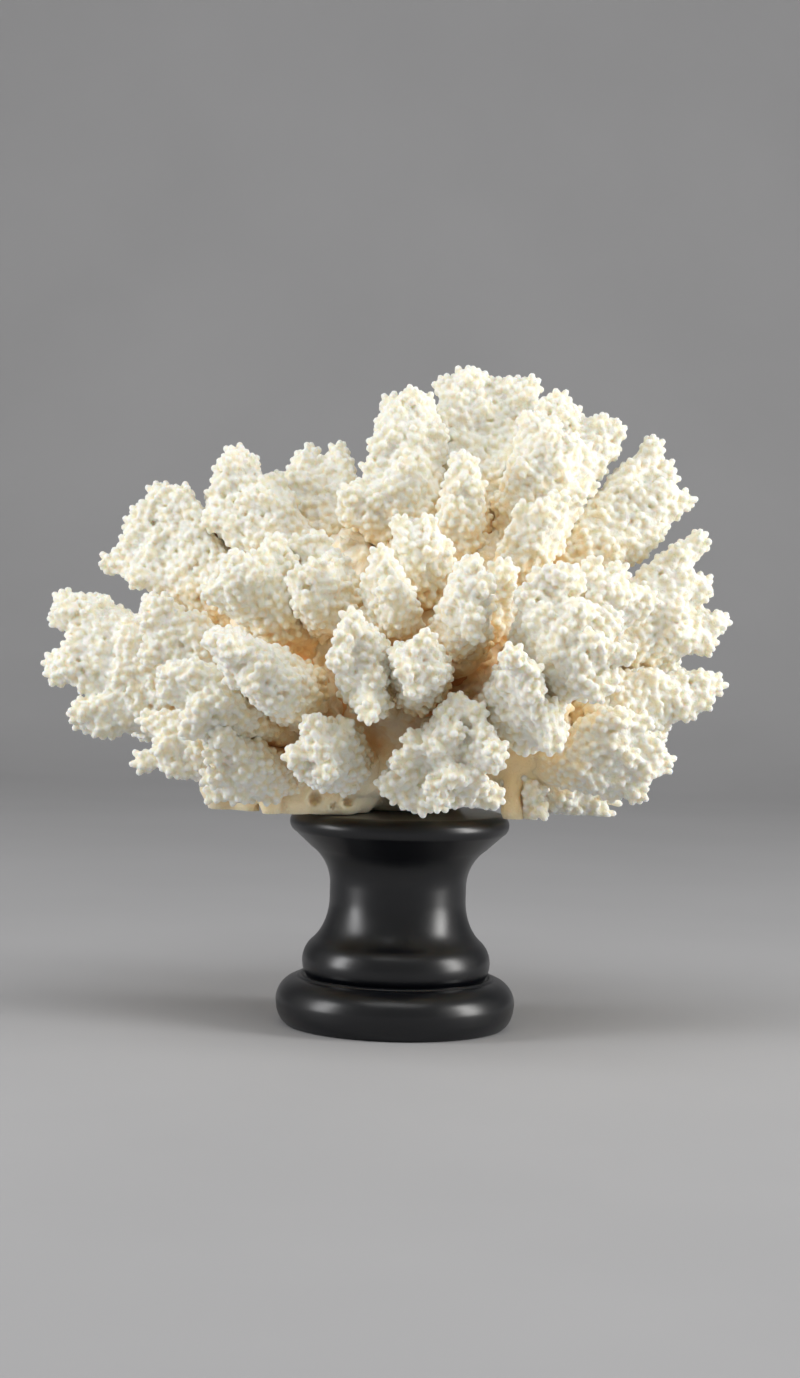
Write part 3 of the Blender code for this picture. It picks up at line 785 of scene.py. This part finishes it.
def stand_outline():
    """The stand's outer side from the foot's underside up to the middle of the top."""
    return [
        (0, 0),
        *arc((FOOT_CONTACT_RADIUS - 2, 7), (5, 7.64), -66.4, -20, 6),
        *arc((FOOT_RADIUS - FOOT_ROUND, 7), (FOOT_ROUND, FOOT_ROUND), 0, 76, 14),
        *arc((FOOT_RADIUS - FOOT_ROUND + 0.4, 14.2), (0.9, 0.75), 10, 165, 8),
        *arc((WAIST_RADIUS, 19), (7.8, 8.2), -40, 49, 16),
        *arc((WAIST_RADIUS + 10.6, WAIST_BOTTOM), (10.6, 15), 236, 180, 14),
        *arc((WAIST_RADIUS + 14, WAIST_TOP), (14, 14), 180, 125, 12),
        *arc((RIM_RADIUS - 3.5, STAND_HEIGHT - 3.4), (3.5, 3.4), -60, 90, 16),
        (0, STAND_HEIGHT),
    ]


def make_stand(finish):
    bm = bmesh.new()
    points = [bm.verts.new((radius * MM, 0, height * MM)) for radius, height in stand_outline()]
    edges = [bm.edges.new(pair) for pair in zip(points, points[1:])]
    bmesh.ops.spin(bm, geom=points + edges, axis=(0, 0, 1), cent=(0, 0, 0),
                   angle=math.tau, steps=STAND_SEGMENTS, use_merge=True)
    bmesh.ops.remove_doubles(bm, verts=bm.verts, dist=0.01 * MM)
    bmesh.ops.recalc_face_normals(bm, faces=bm.faces)
    mesh = bpy.data.meshes.new("stand")
    bm.to_mesh(mesh)
    bm.free()
    add_piece("stand", mesh, finish)


# Materials

class Nodes:
    """A material's node tree, with short ways to add and join nodes."""

    def __init__(self, name):
        self.material = bpy.data.materials.new(name)
        self.material.use_nodes = True
        self.tree = self.material.node_tree
        self.shader = self.tree.nodes["Principled BSDF"]

    def add(self, kind, inputs=None, **settings):
        node = self.tree.nodes.new(kind)
        for key, value in settings.items():
            setattr(node, key, value)
        for key, value in (inputs or {}).items():
            if isinstance(value, bpy.types.NodeSocket):
                self.tree.links.new(value, node.inputs[key])
            else:
                node.inputs[key].default_value = value
        return node

    def shade(self, **inputs):
        for key, value in inputs.items():
            socket = self.shader.inputs[key.replace("_", " ")]
            if isinstance(value, bpy.types.NodeSocket):
                self.tree.links.new(value, socket)
            else:
                socket.default_value = value

    def stored(self, name):
        return self.add("ShaderNodeAttribute", attribute_name=name).outputs["Fac"]

    def place(self):
        return self.add("ShaderNodeTexCoord").outputs["Object"]

    def noise(self, scale, detail=2.0):
        node = self.add("ShaderNodeTexNoise", {"Vector": self.place(), "Scale": scale, "Detail": detail})
        return node.outputs["Fac"]

    def maths(self, operation, first, second, clamp=False):
        node = self.add("ShaderNodeMath", {0: first, 1: second}, operation=operation, use_clamp=clamp)
        return node.outputs["Value"]

    def ranged(self, value, low, high, to_low=0.0, to_high=1.0):
        inputs = {"Value": value, "From Min": low, "From Max": high, "To Min": to_low, "To Max": to_high}
        return self.add("ShaderNodeMapRange", inputs).outputs["Result"]

    def ramp(self, value, stops):
        node = self.add("ShaderNodeValToRGB", {"Fac": value})
        elements = node.color_ramp.elements
        while len(elements) < len(stops):
            elements.new(0.5)
        for element, (position, colour) in zip(elements, stops):
            element.position = position
            element.color = (*colour, 1)
        return node.outputs["Color"]


def mixed(nodes, factor, first, second):
    """A colour mixed from two, each a socket or a plain colour."""
    node = nodes.tree.nodes.new("ShaderNodeMix")
    node.data_type = "RGBA"
    sockets = [item for item in node.inputs if item.enabled]
    for socket, value in zip(sockets, (factor, first, second)):
        if isinstance(value, bpy.types.NodeSocket):
            nodes.tree.links.new(value, socket)
        elif isinstance(value, tuple):
            socket.default_value = (*value, 1)
        else:
            socket.default_value = value
    return next(item for item in node.outputs if item.enabled)


def coral_finish():
    """Bleached skeleton: cream shafts paling towards the heads, bump tops painted white over darker
    painted shade in the gaps, and hollows painted warm and dark as shade, with fine cups all over.
    """
    nodes = Nodes("coral")
    # Painted shade from how open each spot is, with random patches in it, plus paleness that grows
    # towards the heads
    patches = nodes.ranged(nodes.noise(90), 0.3, 0.7, -0.06, 0.06)
    painted_shade_openness = nodes.maths("ADD", nodes.stored("open"), patches)
    paleness_with_painted_shade = nodes.maths("ADD", nodes.maths("MULTIPLY", painted_shade_openness, 0.5),
                           nodes.ranged(nodes.stored("head"), 0.5, 1.05, 0.0, 0.5))
    # Painted shade: dark red-brown where nothing is open, then orange, then cream where a spot is open
    # and far out
    skin = nodes.ramp(paleness_with_painted_shade, [
        (0.0, (0.42, 0.11, 0.04)), (0.07, (0.93, 0.52, 0.22)), (0.2, (0.95, 0.70, 0.38)),
        (0.42, (0.94, 0.79, 0.54)), (0.75, (0.94, 0.88, 0.71)),
    ])
    # Painted shade between bumps: tops are mixed towards white and the gaps keep the darker ramp colour,
    # less so in the painted shade of hollows
    tips = nodes.maths("MULTIPLY", nodes.ranged(nodes.stored("tip"), 0.2, 0.9),
                       nodes.ranged(paleness_with_painted_shade, 0.15, 0.6))
    skin = mixed(nodes, tips, skin, (0.93, 0.92, 0.84))
    cups = nodes.add("ShaderNodeTexVoronoi", {"Vector": nodes.place(), "Scale": 1250.0})
    cup = nodes.ranged(cups.outputs["Distance"], 0.1, 0.5)
    grain = nodes.noise(2600, 3)
    bump = nodes.add("ShaderNodeBump", {"Strength": 0.6, "Distance": 0.2 * MM, "Height": cup})
    bump = nodes.add("ShaderNodeBump", {"Strength": 0.25, "Distance": 0.08 * MM, "Height": grain,
                                        "Normal": bump.outputs["Normal"]})
    nodes.shade(Base_Color=skin, Roughness=nodes.ranged(grain, 0.3, 0.7, 0.72, 0.88),
                Normal=bump.outputs["Normal"], Subsurface_Weight=0.75, Subsurface_Scale=2.4 * MM,
                Sheen_Weight=0.12, Sheen_Roughness=0.6)
    nodes.shader.inputs["Subsurface Radius"].default_value = (1.15, 0.9, 0.7)
    return nodes.material


def stand_finish():
    """Satin black paint on turned wood, with faint brush waves and dust."""
    nodes = Nodes("stand")
    waves = nodes.noise(120, 2)
    specks = nodes.noise(3200, 2)
    paint = mixed(nodes, nodes.ranged(specks, 0.66, 0.8), (0.001, 0.0015, 0.003), (0.008, 0.01, 0.013))
    bump = nodes.add("ShaderNodeBump", {"Strength": 0.2, "Distance": 0.1 * MM, "Height": waves})
    bump = nodes.add("ShaderNodeBump", {"Strength": 0.12, "Distance": 0.02 * MM, "Height": specks,
                                        "Normal": bump.outputs["Normal"]})
    nodes.shade(Base_Color=paint, Specular_IOR_Level=0.55,
                Roughness=nodes.ranged(waves, 0.3, 0.7, 0.28, 0.34), Normal=bump.outputs["Normal"])
    return nodes.material


def stage_finish(name, colour, roughness):
    nodes = Nodes(name)
    shade = nodes.ranged(nodes.noise(6, 4), 0.3, 0.7, 0.97, 1.03)
    tint = nodes.add("ShaderNodeVectorMath", {0: colour, 3: shade}, operation="SCALE")
    nodes.shade(Base_Color=tint.outputs["Vector"], Roughness=roughness)
    return nodes.material


# The studio

def add_stage():
    """A pale floor that sweeps up into a pale backdrop."""
    finish = stage_finish("sweep", SWEEP_COLOUR, SWEEP_ROUGHNESS)
    bm = bmesh.new()
    outline = [(SWEEP_FRONT, 0), (SWEEP_BACK, 0)]
    outline += [(SWEEP_BACK + SWEEP_BEND * math.sin(angle), SWEEP_BEND - SWEEP_BEND * math.cos(angle))
                for angle in (math.radians(step * 6) for step in range(1, 16))]
    outline.append((SWEEP_BACK + SWEEP_BEND, SWEEP_TOP))
    rows = [[bm.verts.new((side, depth, height)) for depth, height in outline]
            for side in (-SWEEP_HALF_WIDTH, SWEEP_HALF_WIDTH)]
    for index in range(len(outline) - 1):
        face = bm.faces.new((rows[0][index], rows[1][index], rows[1][index + 1], rows[0][index + 1]))
        face.smooth = True
    mesh = bpy.data.meshes.new("sweep")
    bm.to_mesh(mesh)
    bm.free()
    mesh.materials.append(finish)
    sweep = bpy.data.objects.new("sweep", mesh)
    bpy.context.scene.collection.objects.link(sweep)


def add_softbox(name, place, size, power, colour):
    lamp = bpy.data.lights.new(name, "AREA")
    lamp.shape = "RECTANGLE"
    lamp.size, lamp.size_y = size
    lamp.energy = power
    lamp.color = colour
    box = bpy.data.objects.new(name, lamp)
    box.location = place
    box.rotation_euler = (Vector(LIT_SPOT) - Vector(place)).to_track_quat("-Z", "Y").to_euler()
    bpy.context.scene.collection.objects.link(box)


def add_lights():
    for softbox in SOFTBOXES:
        add_softbox(*softbox)
    world = bpy.data.worlds.new("studio")
    world.use_nodes = True
    light = world.node_tree.nodes["Background"]
    light.inputs["Color"].default_value = (*WORLD_COLOUR, 1)
    light.inputs["Strength"].default_value = WORLD_STRENGTH
    bpy.context.scene.world = world
    bpy.context.scene.view_settings.view_transform = "Standard"


def add_camera():
    lens = bpy.data.cameras.new("camera")
    lens.lens = CAMERA_LENS
    camera = bpy.data.objects.new("camera", lens)
    camera.matrix_world = (
        Matrix.Translation(Vector(CAMERA_PLACE) * MM)
        @ Matrix.Rotation(math.radians(90 + CAMERA_PITCH), 4, "X")
        @ Matrix.Rotation(math.radians(CAMERA_ROLL), 4, "Z")
    )
    bpy.context.scene.collection.objects.link(camera)
    bpy.context.scene.camera = camera


make_stand(stand_finish())
make_coral(coral_finish())
add_stage()
add_lights()
add_camera()
